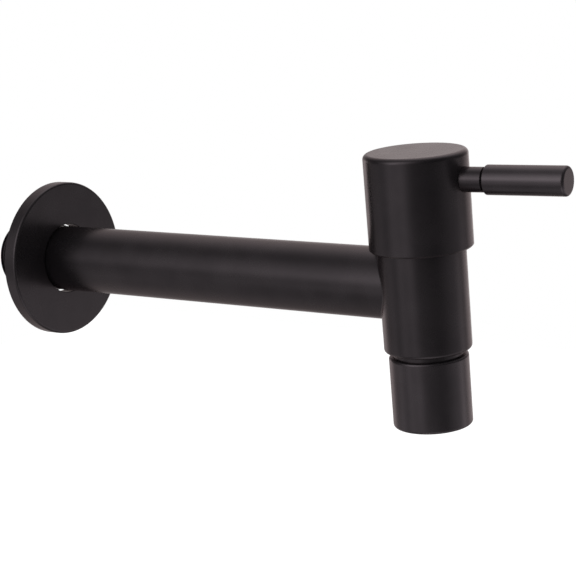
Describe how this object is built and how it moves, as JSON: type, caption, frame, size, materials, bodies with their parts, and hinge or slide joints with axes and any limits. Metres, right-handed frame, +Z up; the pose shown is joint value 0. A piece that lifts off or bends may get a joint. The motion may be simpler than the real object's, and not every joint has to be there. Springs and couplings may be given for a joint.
{
  "type": "wall-mounted cold water tap",
  "caption": "Wall-mounted cold water tap: straight supply tube with a loose wall disc, upright valve body, turning cap with a rod lever, and a nozzle that points down.",
  "frame": {"origin": "where the axis of the inlet and tube meets the wall, in the plane of the wall disc's back", "axes": "+Z up; the tap stands out from the wall along -Y and its thread goes into the wall along +Y; +X is to the left of somebody who faces the wall"},
  "size_m": [0.0604, 0.2492, 0.0969],
  "materials": {
    "black_coating": "satin black coating",
    "brass": "turned",
    "ceramic": "lapped",
    "rubber": "moulded",
    "white_plastic": "moulded acetal",
    "grey_plastic": "moulded acetal",
    "steel": "bright"
  },
  "bodies": {
    "tap": {"supply_tube": "black_coating", "inlet_nipple": "black_coating", "valve_body": "black_coating", "glide_ring": "white_plastic", "cartridge_housing": "brass", "cartridge_o_ring": "rubber", "seat_seal": "rubber", "fixed_disc": "ceramic", "nozzle_sleeve": "black_coating", "nozzle_washer": "rubber", "aerator_cage": "grey_plastic", "aerator_diffuser": "grey_plastic", "aerator_spacer": "grey_plastic", "aerator_screens": "steel"},
    "flange": {"wall_flange": "black_coating"},
    "handle": {"handle_cap": "black_coating", "handle_insert": "brass", "handle_grub_screw": "steel", "lever_stem": "black_coating", "lever_grip": "black_coating", "spindle": "brass", "spindle_o_rings": "rubber", "stop_ring": "brass", "spindle_circlip": "steel", "thrust_washer": "white_plastic", "disc_driver": "white_plastic", "moving_disc": "ceramic"}
  },
  "joints": [
    {"name": "handle_turn", "type": "hinge", "parent": "tap", "child": "handle", "pos_m": [0, -0.173, 0.03], "axis": [0, 0, 1], "range_deg": [-5.3, 84.7]},
    {"name": "flange_slide", "type": "slide", "parent": "tap", "child": "flange", "axis": [0, -1, 0], "range_m": [0, 0.149]}
  ]
}
